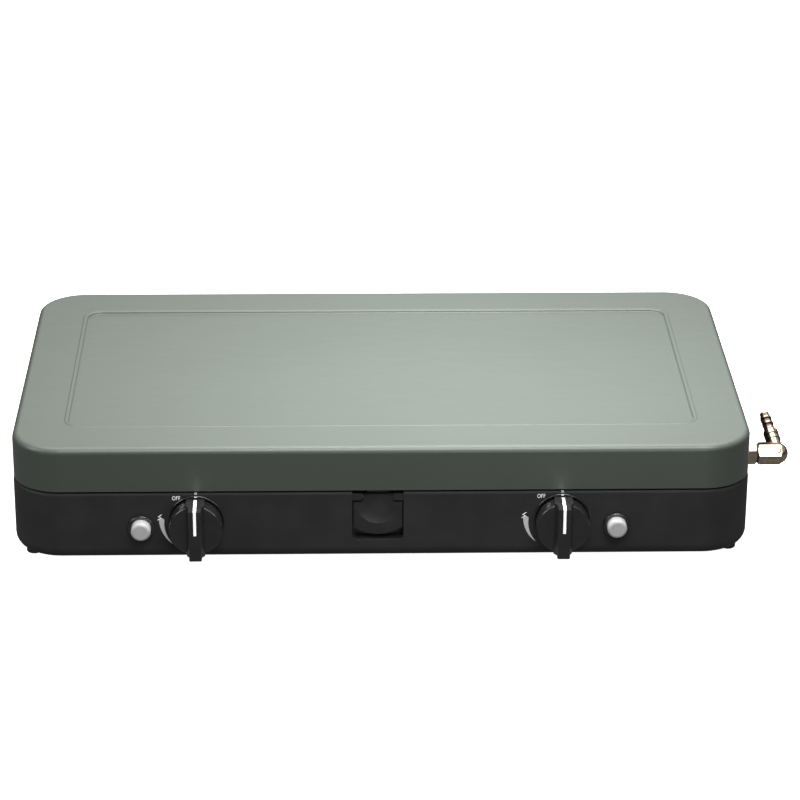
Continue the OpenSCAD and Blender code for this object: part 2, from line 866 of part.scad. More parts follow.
// The lead runs back along the case from the igniter, then turns up into the electrode's ceramic
module ignition_lead(side) {
  y0 = front_y + igniter_rear - 3.9;
  z1 = electrode_low_z() + 3;
  color([0.55, 0.10, 0.08]) {
    along_y(lead_r, y0, burner_y - lead_bend_r, igniter_at(side), button_z);
    translate([igniter_at(side), burner_y - lead_bend_r, button_z + lead_bend_r])
      rotate([0, 90, 0]) rotate_extrude(angle = 90) translate([lead_bend_r, 0]) circle(lead_r, $fn = 24);
    translate([igniter_at(side), burner_y, button_z + lead_bend_r])
      cylinder(r = lead_r, h = z1 - button_z - lead_bend_r);
  }
}

function electrode_low_z() = button_z + lead_bend_r + 1;

module electrode_ceramic(side) {
  low = electrode_low_z();
  color([0.93, 0.91, 0.86]) translate([igniter_at(side), burner_y, 0]) difference() {
    union() {
      translate([0, 0, low]) cylinder(r = 3.4, h = tray_floor_z + 9 - low);
      translate([0, 0, tray_floor_z - tray_sheet - 2]) cylinder(r = 6.5, h = 2);
    }
    translate([0, 0, low - 1]) cylinder(r = lead_r, h = 4);
    translate([0, 0, low]) cylinder(r = 1, h = 40);
  }
}

// A steel rod up through the ceramic, bent towards the burner crown
module spark_electrode(side) {
  bend_r = 2;
  top = crown_top_z - 1.5;
  low = electrode_low_z() + 3;
  color([0.70, 0.70, 0.70]) translate([igniter_at(side), burner_y, 0]) {
    translate([0, 0, low]) cylinder(r = 1, h = top - bend_r - low);
    mirror([side > 0 ? 1 : 0, 0, 0]) {
      translate([bend_r, 0, top - bend_r]) rotate([90, 0, 0]) rotate([0, 0, 90])
        rotate_extrude(angle = 90) translate([bend_r, 0]) circle(1, $fn = 24);
      along_x(1, bend_r, 3.6, 0, top);
    }
  }
}

// ---- lid ----

module lid_profile() {
  wall_h = lid_h - lid_edge_r;
  translate([corner_r - sheet, lid_z]) square([sheet, wall_h]);
  translate([corner_r - 2 * sheet, lid_z]) square([2 * sheet, hem_h]);
  translate([corner_r - lid_edge_r, lid_z + wall_h]) quarter_ring(lid_edge_r, lid_edge_r - sheet, 0);
  translate([0, lid_top_z - sheet]) square([corner_r - lid_edge_r, sheet]);
}

// What is cut away over the sunk panel: a step with a rounded edge above and a fillet below
module panel_step_profile() {
  a = panel_drop / 2;
  translate([0, lid_top_z - a]) square([panel_r, a + 1]);
  translate([0, lid_top_z - panel_drop]) square([panel_r - a, panel_drop]);
  translate([panel_r - a, lid_top_z - a]) quarter_ring(a, 0, 3);
  difference() {
    translate([panel_r - eps, lid_top_z - a]) square([a + eps, a + 1]);
    translate([panel_r + a, lid_top_z - a]) circle(a);
    translate([panel_r + a / 2, lid_top_z]) square([a, 2]);
  }
}

// The low bead around the sunk panel, as the top of a circle that lies mostly in the sheet
module bead_profile() {
  r = 2;
  half_w = sqrt(r * r - pow(r - bead_h, 2));
  intersection() {
    translate([panel_r + panel_drop / 2 + half_w, lid_top_z + bead_h - r]) circle(r, $fn = 32);
    translate([panel_r, lid_top_z - sheet / 2]) square([3 * r, sheet]);
  }
}

module lid_shell() {
  color([0.56, 0.60, 0.56]) difference() {
    union() {
      swept_frame(lid_w, lid_d, corner_r) lid_profile();
      translate([-lid_w / 2 + corner_r, -lid_d / 2 + corner_r, lid_top_z - sheet])
        cube([lid_w - 2 * corner_r, lid_d - 2 * corner_r, sheet]);
      rounded_slab(panel_w + 2 * sheet, panel_d + 2 * sheet, panel_r + sheet,
                   lid_top_z - panel_drop - sheet, lid_top_z - sheet / 2);
      swept_frame(panel_w, panel_d, panel_r) bead_profile();
    }
    swept_frame(panel_w, panel_d, panel_r) panel_step_profile();
    translate([-panel_w / 2 + panel_r, -panel_d / 2 + panel_r, lid_top_z - panel_drop])
      cube([panel_w - 2 * panel_r, panel_d - 2 * panel_r, panel_drop + 1]);
    for (side = [left, right], x = [-1, 1])
      along_y(rivet_r, lid_d / 2 - 3, lid_d / 2 + 1, side * hinge_x + x * rivet_x, hinge_z + rivet_up);
  }
}

// ---- hinges ----

module at_hinge(side) {
  translate([side * hinge_x, hinge_y, hinge_z]) children();
}

// One leaf: a plate against the sheet, joined to the knuckles that the pin goes through
module hinge_leaf(plate_y, up, knuckles, bore_r) {
  bridge_h = 2;
  plate_low = up > 0 ? knuckle_r + 1 : -leaf_reach;
  difference() {
    union() {
      for (k = knuckles)
        knuckle(k[0], k[1] - k[0], plate_y, up, bridge_h);
      translate([-hinge_w / 2, plate_y, plate_low]) cube([hinge_w, leaf_t, leaf_reach - knuckle_r - 1]);
    }
    along_x(bore_r, -hinge_w, hinge_w);
    for (x = [-1, 1])
      along_y(rivet_r, -12, 2, x * rivet_x, up > 0 ? rivet_up : -rivet_drop);
  }
}

// A knuckle around the pin, its strap, and the short bridge from the strap to the plate
module knuckle(x0, len, plate_y, up, bridge_h) {
  along_x(knuckle_r, x0, x0 + len);
  translate([x0, -knuckle_r, up > 0 ? 0 : -knuckle_r - bridge_h])
    cube([len, leaf_t, knuckle_r + bridge_h]);
  translate([x0, min(plate_y, -knuckle_r), up > 0 ? knuckle_r : -knuckle_r - bridge_h])
    cube([len, leaf_t + abs(plate_y + knuckle_r), bridge_h]);
}

module base_hinge_leaves() {
  gap = 0.3;
  half = hinge_w / 2;
  mid = mid_knuckle_w / 2 + gap;
  color([0.70, 0.71, 0.72])
    for (side = [left, right])
      at_hinge(side) hinge_leaf(rear_y - hinge_y, -1, [[-half, -mid], [mid, half]], hinge_pin_r);
}

module lid_hinge_leaves() {
  half = mid_knuckle_w / 2;
  color([0.70, 0.71, 0.72])
    for (side = [left, right])
      at_hinge(side) hinge_leaf(lid_d / 2 - hinge_y, 1, [[-half, half]], hinge_pin_r + running_fit);
}

module hinge_pins() {
  half = hinge_w / 2;
  color([0.80, 0.80, 0.80])
    for (side = [left, right])
      at_hinge(side) {
        along_x(hinge_pin_r, -half - 1, half + 1);
        along_x(hinge_pin_r + 1, -half - 2, -half);
      }
}

// Rivets through a leaf and the sheet behind it, with a head on both faces
module leaf_rivets(sheet_y, hole_z, stack) {
  for (side = [left, right], x = [-1, 1])
    translate([side * hinge_x + x * rivet_x, sheet_y, hole_z]) {
      along_y(rivet_r, -stack, leaf_t);
      along_y(rivet_r + 1.4, leaf_t, leaf_t + 1);
      along_y(rivet_r + 1, -stack - 1, -stack);
    }
}

module base_rivets() {
  color([0.65, 0.65, 0.65]) leaf_rivets(rear_y, hinge_z - rivet_drop, sheet);
}

module lid_rivets() {
  color([0.65, 0.65, 0.65]) leaf_rivets(lid_d / 2, hinge_z + rivet_up, sheet);
}

// ---- latch ----

module latch_housing() {
  outer_w = latch_w + 2 * latch_wall;
  back_y = front_y + latch_depth;
  top = case_h - sheet - 0.3;
  color([0.08, 0.08, 0.08]) translate([latch_x, 0, 0]) {
    difference() {
      translate([-outer_w / 2, wall_in_y, latch_floor_z - latch_wall])
        cube([outer_w, back_y - wall_in_y, top - latch_floor_z + latch_wall]);
      translate([0, back_y - latch_wall, 0]) latch_bay(0.2, 25);
      translate([-nib_w / 2 - 1.5, back_y - 5, latch_pin_z - 5]) cube([nib_w + 3, 10, 20]);
    }
    for (side = [left, right])
      latch_ear(side, back_y);
  }
}

// An ear beside the flap's tab that holds one end of the pin. Its foot slopes, to clear the open flap
module latch_ear(side, back_y) {
  ear_w = (latch_w - latch_tab_w) / 2 + 0.2;
  r = latch_barrel_r;
  reach = latch_axis_y - flap_face_y;
  foot_z = (reach * sin(latch_travel) - r) / cos(latch_travel);
  mirror([side > 0 ? 0 : 1, 0, 0]) difference() {
    translate([latch_w / 2 + 0.5 - ear_w, latch_axis_y, latch_pin_z]) {
      along_x(r, 0, ear_w);
      translate([0, 0, -r]) cube([ear_w, back_y - latch_axis_y, 2 * r]);
      rotate([90, 0, 90]) linear_extrude(ear_w)
        polygon([[1, r + 1], [-reach, r + 1], [-reach, foot_z], [-r / 4, 0.2 - r], [1, 0]]);
    }
    along_x(latch_pin_r, 0, latch_w, latch_axis_y, latch_pin_z);
  }
}

// The latch's bay, open at its top and rounded below, drawn forwards by length from Y = 0
module latch_bay(inset, length) {
  above = 20;
  h = case_h + above - latch_floor_z;
  rotate([90, 0, 0]) linear_extrude(length)
    translate([0, latch_floor_z + h / 2]) rounded_square(latch_w - 2 * inset, h - 2 * inset, 3.5 - inset);
}

module latch_pin() {
  end = latch_w / 2 - 1;
  color("silver") along_x(latch_pin_r, latch_x - end, latch_x + end, latch_axis_y, latch_pin_z);
}

// The flap's outline: a shallow arc along its foot, and a narrow tab between the ears
module flap_outline() {
  arc_r = (pow(flap_w / 2, 2) + pow(flap_sag, 2)) / (2 * flap_sag);
  shoulder_z = latch_pin_z - latch_barrel_r - 0.3;
  intersection() {
    translate([-flap_w / 2, flap_low_z]) square([flap_w, shoulder_z - flap_low_z]);
    translate([0, flap_low_z + arc_r]) circle(arc_r, $fn = fine_fn);
  }
  translate([-latch_tab_w / 2, shoulder_z - 1]) square([latch_tab_w, latch_pin_z + 2 - shoulder_z + 1]);
}

module latch_flap() {
  ball_r = (dish_r * dish_r + dish_deep * dish_deep) / (2 * dish_deep);
  color([0.10, 0.10, 0.10]) translate([latch_x, 0, 0]) difference() {
    union() {
      translate([0, flap_face_y + flap_t, 0]) rotate([90, 0, 0]) linear_extrude(flap_t) flap_outline();
      along_x(latch_barrel_r, -latch_tab_w / 2, latch_tab_w / 2, latch_axis_y, latch_pin_z);
      translate([-latch_tab_w / 2, flap_face_y + flap_t - eps, latch_pin_z - latch_barrel_r])
        cube([latch_tab_w, latch_axis_y - flap_face_y - flap_t, latch_barrel_r + 2]);
      // the nib that stands up behind the lid's catch
      translate([-nib_w / 2, nib_front_y, latch_pin_z]) cube([nib_w, nib_t, nib_top_z - latch_pin_z]);
      translate([-nib_w / 2, nib_front_y - nib_hook, nib_top_z - 2]) cube([nib_w, 2 * nib_hook, 2]);
    }
    translate([0, flap_face_y + dish_deep - ball_r, dish_z]) sphere(ball_r, $fn = fine_fn);
    along_x(latch_pin_r + running_fit, -latch_w, latch_w, latch_axis_y, latch_pin_z);
  }
}

// A bent plate inside the lid's front skirt, with a lip above its lower edge
module lid_catch() {
  hem_y = -lid_d / 2 + 2 * sheet;
  lip_end = nib_front_y - nib_hook - nib_gap;
  plate_h = 9;
  color([0.68, 0.69, 0.70]) translate([latch_x - catch_w / 2, 0, 0]) {
    translate([0, hem_y, catch_z]) cube([catch_w, lip_end - hem_y, catch_t]);
    translate([0, hem_y - sheet, lid_z + hem_h]) cube([catch_w, catch_t, plate_h]);
    translate([0, hem_y, catch_z]) cube([catch_w, catch_t, lid_z + hem_h + 2 - catch_z]);
  }
}

placed() {
  base_pan();
  drip_tray();
  tray_screws();
  rubber_feet();
  burner_cup(left);  // burner_cup_left
  burner_cup(right);  // burner_cup_right
  burner_crown(left);  // burner_crown_left
  burner_crown(right);  // burner_crown_right
  burner_cap(left);  // burner_cap_left
  burner_cap(right);  // burner_cap_right
  burner_screws();
  pan_support(left);  // pan_support_left
  pan_support(right);  // pan_support_right
  gas_valve(left);  // gas_valve_left
  gas_valve(right);  // gas_valve_right
  valve_screws();
  injector(left);  // injector_left
  injector(right);  // injector_right
  valve_spindle(left);  // valve_spindle_left
  valve_spindle(right);  // valve_spindle_right
  thrust_collar(left);  // thrust_collar_left
  thrust_collar(right);  // thrust_collar_right
  valve_spring(left);  // valve_spring_left
  valve_spring(right);  // valve_spring_right
  gas_manifold();
  inlet_fitting();
  inlet_locknut();
  sealing_washer();
  hose_elbow();
  knob(left);  // knob_left
  knob(right);  // knob_right
  pointer(left);  // pointer_left
  pointer(right);  // pointer_right
  knob_ring(left);  // knob_ring_left
  knob_ring(right);  // knob_ring_right
  igniter_body(left);  // igniter_body_left
  igniter_body(right);  // igniter_body_right
  igniter_button(left);  // igniter_button_left
  igniter_button(right);  // igniter_button_right
  igniter_ring(left);  // igniter_ring_left
  igniter_ring(right);  // igniter_ring_right
  igniter_spring(left);  // igniter_spring_left
  igniter_spring(right);  // igniter_spring_right
  ignition_lead(left);  // ignition_lead_left
  ignition_lead(right);  // ignition_lead_right
  spark_electrode(left);  // spark_electrode_left
  spark_electrode(right);  // spark_electrode_right
  electrode_ceramic(left);  // electrode_ceramic_left
  electrode_ceramic(right);  // electrode_ceramic_right
  lid_shell();
  lid_hinge_leaves();
  lid_rivets();
  base_hinge_leaves();
  base_rivets();
  hinge_pins();
  latch_housing();
  latch_flap();
  latch_pin();
  lid_catch();
}
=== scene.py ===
"""Camping stove: materials, dial marks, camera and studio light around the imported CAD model."""
import json
import math

import bmesh
import bpy
from mathutils import Matrix, Vector


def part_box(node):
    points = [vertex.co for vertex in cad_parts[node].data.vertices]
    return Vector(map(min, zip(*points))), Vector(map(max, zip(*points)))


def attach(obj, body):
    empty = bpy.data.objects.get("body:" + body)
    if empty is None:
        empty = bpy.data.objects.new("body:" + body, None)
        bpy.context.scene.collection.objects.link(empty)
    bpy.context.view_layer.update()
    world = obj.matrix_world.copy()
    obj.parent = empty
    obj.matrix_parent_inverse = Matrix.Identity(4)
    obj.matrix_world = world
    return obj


MM = 0.001


# ---- shader building ----

def set_stops(ramp, stops):
    """Gives a colour ramp its stops, each (position, (r, g, b)), in rising order."""
    while len(ramp.elements) < len(stops):
        ramp.elements.new(0.5)
    for element, (position, colour) in zip(ramp.elements, stops):
        element.position = position
        element.color = (*colour, 1.0)


class Shader:
    """A material with one Principled shader, and short calls that add texture nodes to it."""

    def __init__(self, name, **sockets):
        self.material = bpy.data.materials.new(name)
        self.material.use_nodes = True
        self.tree = self.material.node_tree
        self.bsdf = self.tree.nodes["Principled BSDF"]
        for socket, value in sockets.items():
            self.bsdf.inputs[socket.replace("_", " ")].default_value = value
        self.coords = self.tree.nodes.new("ShaderNodeTexCoord").outputs["Object"]

    def node(self, kind, **values):
        """Adds a node; values are its plain settings."""
        node = self.tree.nodes.new(kind)
        for key, value in values.items():
            setattr(node, key, value)
        return node

    def link(self, source, target):
        self.tree.links.new(source, target)

    def stretched(self, scale):
        """Object coordinates scaled by a different amount along each axis."""
        mapping = self.node("ShaderNodeMapping")
        mapping.inputs["Scale"].default_value = scale
        self.link(self.coords, mapping.inputs["Vector"])
        return mapping.outputs["Vector"]

    def noise(self, scale, detail=3.0, rough=0.5, vector=None):
        """Noise whose features are about one part in scale of a metre."""
        node = self.node("ShaderNodeTexNoise")
        node.inputs["Scale"].default_value = scale
        node.inputs["Detail"].default_value = detail
        node.inputs["Roughness"].default_value = rough
        self.link(vector or self.coords, node.inputs["Vector"])
        return node.outputs["Fac"]

    def cells(self, scale):
        """Distance from the nearest of scattered points, about scale of them in a metre."""
        node = self.node("ShaderNodeTexVoronoi")
        node.inputs["Scale"].default_value = scale
        self.link(self.coords, node.inputs["Vector"])
        return node.outputs["Distance"]

    def ramp(self, factor, stops):
        """Colour ramp over a factor; stops are (position, (r, g, b))."""
        node = self.node("ShaderNodeValToRGB")
        set_stops(node.color_ramp, stops)
        self.link(factor, node.inputs["Fac"])
        return node.outputs["Color"]

    def openness(self, reach):
        """1 on open surfaces and less in grooves, judged over that distance in metres."""
        node = self.node("ShaderNodeAmbientOcclusion", samples=8)
        node.inputs["Distance"].default_value = reach
        return self.spread(node.outputs["AO"], 0.0, 1.0, 0.35, 0.85)

    def spread(self, factor, low, high, start=0.3, end=0.7):
        """Maps a factor from start..end to low..high."""
        node = self.node("ShaderNodeMapRange")
        node.inputs["From Min"].default_value = start
        node.inputs["From Max"].default_value = end
        node.inputs["To Min"].default_value = low
        node.inputs["To Max"].default_value = high
        self.link(factor, node.inputs["Value"])
        return node.outputs["Result"]

    def mix(self, factor, first, second):
        """Mixes two colours, each a socket or a plain (r, g, b)."""
        node = self.node("ShaderNodeMix", data_type="RGBA")
        self.link(factor, node.inputs["Factor"])
        targets = [socket for socket in node.inputs if socket.type == "RGBA"]
        for target, value in zip(targets, (first, second)):
            if isinstance(value, tuple):
                target.default_value = (*value, 1.0)
            else:
                self.link(value, target)
        return [socket for socket in node.outputs if socket.type == "RGBA"][0]

    def bump(self, height, depth, strength=1.0, under=None):
        """Bump of that depth in metres, on top of an earlier bump."""
        node = self.node("ShaderNodeBump")
        node.inputs["Distance"].default_value = depth
        node.inputs["Strength"].default_value = strength
        self.link(height, node.inputs["Height"])
        if under:
            self.link(under, node.inputs["Normal"])
        return node.outputs["Normal"]

    def finish(self, colour=None, roughness=None, normal=None):
        """Links what varies over the surface, and returns the material."""
        for name, source in (("Base Color", colour), ("Roughness", roughness), ("Normal", normal)):
            if source:
                self.link(source, self.bsdf.inputs[name])
        return self.material


def shade(colour, factor):
    """The same hue, lighter or darker."""
    return tuple(min(1.0, c * factor) for c in colour)


# ---- materials ----

def lid_paint():
    """Satin grey-green stove paint: orange peel, fine flake, and slight clouding."""
    base = (0.061, 0.0725, 0.061)
    s = Shader("lid_paint", Coat_Weight=0.4, Coat_Roughness=0.3)
    clouds = s.noise(5.0, 3.0)
    flakes = s.noise(5200.0, 1.0)
    colour = s.ramp(clouds, [(0.3, shade(base, 0.965)), (0.7, shade(base, 1.035))])
    colour = s.mix(s.spread(flakes, 0.0, 1.0, 0.62, 0.78), colour, shade(base, 1.22))
    peel = s.bump(s.noise(620.0, 2.0), 0.00006, 0.35)
    grain = s.bump(s.noise(3600.0, 2.0), 0.00002, 0.35, under=peel)
    scuffs = s.noise(30.0, 6.0, 0.65, s.stretched((1.0, 3.0, 1.0)))
    return s.finish(colour, s.spread(scuffs, 0.36, 0.44), grain)


def case_black():
    """Black powder coat with its fine pebble texture."""
    s = Shader("case_black", Specular_IOR_Level=0.18)
    colour = s.ramp(s.noise(40.0, 5.0), [(0.3, (0.026, 0.026, 0.0265)), (0.7, (0.033, 0.033, 0.034))])
    pebbles = s.bump(s.noise(1500.0, 2.0), 0.00005, 0.4)
    grain = s.bump(s.noise(4200.0, 1.0), 0.00002, 0.4, under=pebbles)
    return s.finish(colour, s.spread(s.noise(25.0, 5.0), 0.40, 0.50), grain)


def tray_enamel():
    """Black vitreous enamel with pale speckles and a glassy top."""
    s = Shader("tray_enamel", Coat_Weight=0.6, Coat_Roughness=0.08)
    pale, grey, black = (0.30, 0.31, 0.32), (0.16, 0.165, 0.17), (0.012, 0.012, 0.013)
    colour = s.ramp(s.cells(900.0), [(0.0, pale), (0.12, grey), (0.2, black)])
    flow = s.bump(s.noise(90.0, 2.0), 0.0003, 0.3)
    return s.finish(colour, s.spread(s.noise(60.0, 4.0), 0.16, 0.28), flow)


def black_enamel():
    """Matt enamel on the pan supports and burner caps, greyed where heat and pans have touched it."""
    s = Shader("black_enamel")
    heat = s.noise(55.0, 6.0, 0.6)
    black, burnt, greyed = (0.016, 0.016, 0.016), (0.028, 0.027, 0.026), (0.05, 0.046, 0.043)
    colour = s.ramp(heat, [(0.35, black), (0.62, burnt), (0.8, greyed)])
    return s.finish(colour, s.spread(heat, 0.42, 0.62), s.bump(s.noise(1900.0, 3.0), 0.00006, 0.5))


def cast_aluminium():
    """Die-cast burner metal: pitted, with a heat-darkened bloom."""
    s = Shader("cast_aluminium", Metallic=1.0)
    bloom = s.noise(45.0, 5.0, 0.6)
    dull, bright, browned = (0.50, 0.50, 0.51), (0.62, 0.62, 0.62), (0.56, 0.52, 0.46)
    colour = s.ramp(bloom, [(0.3, dull), (0.6, bright), (0.8, browned)])
    skin = s.bump(s.noise(1400.0, 4.0, 0.6), 0.00012, 0.6)
    return s.finish(colour, s.spread(s.noise(300.0, 3.0), 0.42, 0.58), skin)


def pipe_aluminium():
    """Drawn pipe with faint marks along it."""
    s = Shader("pipe_aluminium", Metallic=1.0)
    drawn = s.noise(900.0, 3.0, 0.6, s.stretched((0.05, 0.6, 1.0)))
    colour = s.ramp(drawn, [(0.3, (0.62, 0.63, 0.64)), (0.7, (0.74, 0.75, 0.76))])
    return s.finish(colour, s.spread(drawn, 0.28, 0.42), s.bump(drawn, 0.00003, 0.4))


def valve_brass():
    """Machined brass, a little dulled by handling."""
    s = Shader("valve_brass", Metallic=1.0)
    tarnish = s.noise(160.0, 5.0, 0.6)
    brown, bright, dull = (0.58, 0.40, 0.16), (0.78, 0.58, 0.27), (0.66, 0.46, 0.20)
    colour = s.ramp(tarnish, [(0.3, brown), (0.6, bright), (0.8, dull)])
    return s.finish(colour, s.spread(tarnish, 0.24, 0.40), s.bump(s.noise(2500.0, 2.0), 0.00002, 0.4))


def yellow_zinc():
    """Yellow passivated zinc: gold drifting into pink, green and pale straw, with painted shade darkening
    its grooves.
    """
    s = Shader("yellow_zinc", Metallic=1.0)
    drift = s.noise(130.0, 2.0, 0.5)
    painted_groove_shade = (0.10, 0.07, 0.05)
    gold, straw = (0.64, 0.55, 0.36), (0.78, 0.72, 0.54)
    pink, green = (0.76, 0.47, 0.47), (0.45, 0.58, 0.36)
    plating = s.ramp(drift, [(0.30, green), (0.42, straw), (0.52, gold), (0.62, pink), (0.74, straw)])
    # Painted shade: the colour goes dark brown where grooves hem the surface in
    colour = s.mix(s.openness(4 * MM), painted_groove_shade, plating)
    turned = s.noise(2200.0, 2.0, 0.5, s.stretched((1.0, 1.0, 0.15)))
    return s.finish(colour, s.spread(s.noise(420.0, 3.0), 0.10, 0.20), s.bump(turned, 0.00003, 0.3))


def zinc_steel():
    """Bright zinc with a soft spangle."""
    s = Shader("zinc_steel", Metallic=1.0)
    spangle = s.noise(420.0, 4.0, 0.55)
    colour = s.ramp(spangle, [(0.3, (0.52, 0.53, 0.55)), (0.7, (0.70, 0.71, 0.72))])
    return s.finish(colour, s.spread(spangle, 0.22, 0.40), s.bump(s.noise(1800.0, 3.0), 0.00003, 0.5))


def spring_steel():
    """Drawn spring wire, dark with an oil film."""
    s = Shader("spring_steel", Metallic=1.0)
    film = s.noise(700.0, 3.0)
    colour = s.ramp(film, [(0.3, (0.36, 0.36, 0.37)), (0.7, (0.56, 0.56, 0.58))])
    return s.finish(colour, s.spread(film, 0.22, 0.36), s.bump(film, 0.00002, 0.4))


def knob_plastic():
    """Black moulded plastic with a spark-eroded grain."""
    s = Shader("knob_plastic", Coat_Weight=1.0, Coat_Roughness=0.12, Coat_IOR=1.6)
    colour = s.ramp(s.noise(120.0, 4.0), [(0.3, (0.008, 0.008, 0.0083)), (0.7, (0.012, 0.012, 0.0123))])
    grain = s.bump(s.noise(3000.0, 2.0), 0.00004, 0.45)
    return s.finish(colour, s.spread(s.noise(90.0, 4.0), 0.22, 0.30), grain)


def latch_plastic():
    """Smoother black plastic, polished where thumbs press it."""
    s = Shader("latch_plastic")
    rub = s.noise(70.0, 5.0)
    colour = s.ramp(rub, [(0.3, (0.018, 0.018, 0.0185)), (0.7, (0.026, 0.026, 0.0265))])
    return s.finish(colour, s.spread(rub, 0.26, 0.38), s.bump(s.noise(2600.0, 2.0), 0.00002, 0.35))


def pointer_white():
    """White moulded strip, with a faint glow that paints light onto it."""
    s = Shader("pointer_white", Emission_Color=(1, 1, 1, 1), Emission_Strength=0.45)
    colour = s.ramp(s.noise(260.0, 4.0), [(0.3, (0.86, 0.86, 0.84)), (0.7, (0.93, 0.93, 0.91))])
    return s.finish(colour, s.spread(s.noise(500.0), 0.34, 0.46), s.bump(s.noise(1500.0), 0.00002, 0.3))


def button_grey():
    """Grey moulded button with a satin face."""
    s = Shader("button_grey", Specular_IOR_Level=0.3)
    colour = s.ramp(s.noise(180.0, 4.0), [(0.3, (0.43, 0.43, 0.43)), (0.7, (0.50, 0.50, 0.50))])
    grain = s.bump(s.noise(1900.0, 2.0), 0.00003, 0.4)
    return s.finish(colour, s.spread(s.noise(300.0, 3.0), 0.34, 0.46), grain)


def black_rubber():
    """Matt rubber with a dusty bloom."""
    s = Shader("black_rubber", Sheen_Weight=0.15, Sheen_Roughness=0.5)
    bloom = s.noise(220.0, 5.0, 0.6)
    colour = s.ramp(bloom, [(0.3, (0.010, 0.010, 0.010)), (0.75, (0.024, 0.024, 0.024))])
    return s.finish(colour, s.spread(bloom, 0.62, 0.80), s.bump(s.noise(1600.0, 3.0), 0.00005, 0.6))


def lead_sleeve():
    """Red silicone sleeve."""
    s = Shader("lead_sleeve")
    colour = s.ramp(s.noise(150.0, 4.0), [(0.3, (0.26, 0.035, 0.025)), (0.7, (0.36, 0.055, 0.04))])
    return s.finish(colour, s.spread(s.noise(400.0), 0.38, 0.52), s.bump(s.noise(1800.0), 0.00003, 0.4))


def white_ceramic():
    """Unglazed ceramic, slightly sooty."""
    s = Shader("white_ceramic")
    soot = s.noise(240.0, 5.0, 0.6)
    clean, dusty, sooty = (0.78, 0.75, 0.68), (0.70, 0.67, 0.60), (0.38, 0.34, 0.29)
    colour = s.ramp(soot, [(0.3, clean), (0.65, dusty), (0.85, sooty)])
    return s.finish(colour, s.spread(soot, 0.34, 0.55), s.bump(s.noise(2200.0), 0.00003, 0.4))


# How much painted glow a print gives off for its tone, so that it stays bright on the black case
INK_PAINTED_GLOW = 0.3


def print_ink(name, tone):
    """Screen-printed ink of that grey tone, slightly uneven in cover, with a faint painted glow."""
    s = Shader(name, Emission_Color=(1, 1, 1, 1), Emission_Strength=tone * INK_PAINTED_GLOW)
    cover = s.noise(1500.0, 4.0, 0.6)
    colour = s.ramp(cover, [(0.3, (tone * 0.86,) * 3), (0.6, (tone,) * 3)])
    return s.finish(colour, s.spread(cover, 0.42, 0.56), s.bump(cover, 0.00001, 0.4))


MATERIALS = (
    lid_paint, case_black, tray_enamel, black_enamel, cast_aluminium, pipe_aluminium, valve_brass,
    yellow_zinc, zinc_steel, spring_steel, knob_plastic, latch_plastic, pointer_white, button_grey,
    black_rubber, lead_sleeve, white_ceramic,
)


def dress_nodes(frame):
    """Gives every CAD node the material that its slot in the record names."""
    made = {build.__name__: build() for build in MATERIALS}
    for part in frame["record"]["subparts"]:
        obj = frame["nodes"][part["node"]]
        obj.data.materials.clear()
        obj.data.materials.append(made[part["material_slot"]])


# ---- dial marks ----

MARK_THICKNESS = 0.08 * MM
# Places, outlines and sizes are in mm across the case's front face, from the axis of the mark's knob.
# The spark sign's line is drawn about BOLT_PLACE.
BOLT_LINE = [(1.6, 2.4), (-1.1, 0.4), (1.1, -0.4), (-1.7, -2.4)]
BOLT_STROKE = 0.9
BOLT_PLACE = (-28.9, 3.6)
OFF_PLACE = (-15.5, 20.2)
OFF_HEIGHT = 3.5
# The letters' narrowing, spacing and boldness, and the font's size over a capital's height
OFF_NARROWING = 0.74
OFF_SPACING = 1.05
OFF_BOLDNESS = 0.02 * MM
FONT_SIZE_OVER_CAPITAL = 1.42
CASE_TICK = [(-1.0, 23.2), (1.0, 23.2), (1.0, 25.2), (-1.0, 25.2)]
RING_TICK = [(-1.1, 21.6), (1.1, 21.6), (1.1, 22.5), (-1.1, 22.5)]
# The wedge's turn from the top of the dial, anticlockwise, in degrees
WEDGE_START = 84
WEDGE_END = 136
WEDGE_WIDTH = 4.6
WEDGE_RADIUS = 27.4
# The print on the right sits a little off its knob, as in the photo
PRINT_SHIFT = {"left": 0.0, "right": -1.3}


def on_face(x, z):
    """A step of x and z mm across the case's front face."""
    return Vector((x * MM, 0, z * MM))


def wedge_outline():
    """The flame-size wedge: widest near nine o'clock, where it is rounded off, then a long point."""
    steps = 24
    rounding = 0.05
    outer, inner = [], []
    for i in range(steps + 1):
        t = i / steps
        angle = math.radians(90 + WEDGE_START + t * (WEDGE_END - WEDGE_START))
        rounded = min(1.0, math.sqrt(t / rounding + 0.02))
        half = WEDGE_WIDTH / 2 * (1 - t) ** 0.85 * rounded
        outer.append(((WEDGE_RADIUS + half) * math.cos(angle), (WEDGE_RADIUS + half) * math.sin(angle)))
        inner.append(((WEDGE_RADIUS - half) * math.cos(angle), (WEDGE_RADIUS - half) * math.sin(angle)))
    return outer + inner[::-1]


def bolt_outline():
    """The spark sign: a zigzag line, thickened sideways."""
    right = [(x + BOLT_STROKE / 2, z) for x, z in BOLT_LINE]
    left = [(x - BOLT_STROKE / 2, z) for x, z in BOLT_LINE]
    return right + left[::-1]


def add_print(name, mesh, material):
    """Puts a finished print on the case."""
    obj = bpy.data.objects.new(name, mesh)
    bpy.context.scene.collection.objects.link(obj)
    mesh.materials.clear()
    mesh.materials.append(material)
    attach(obj, "case")


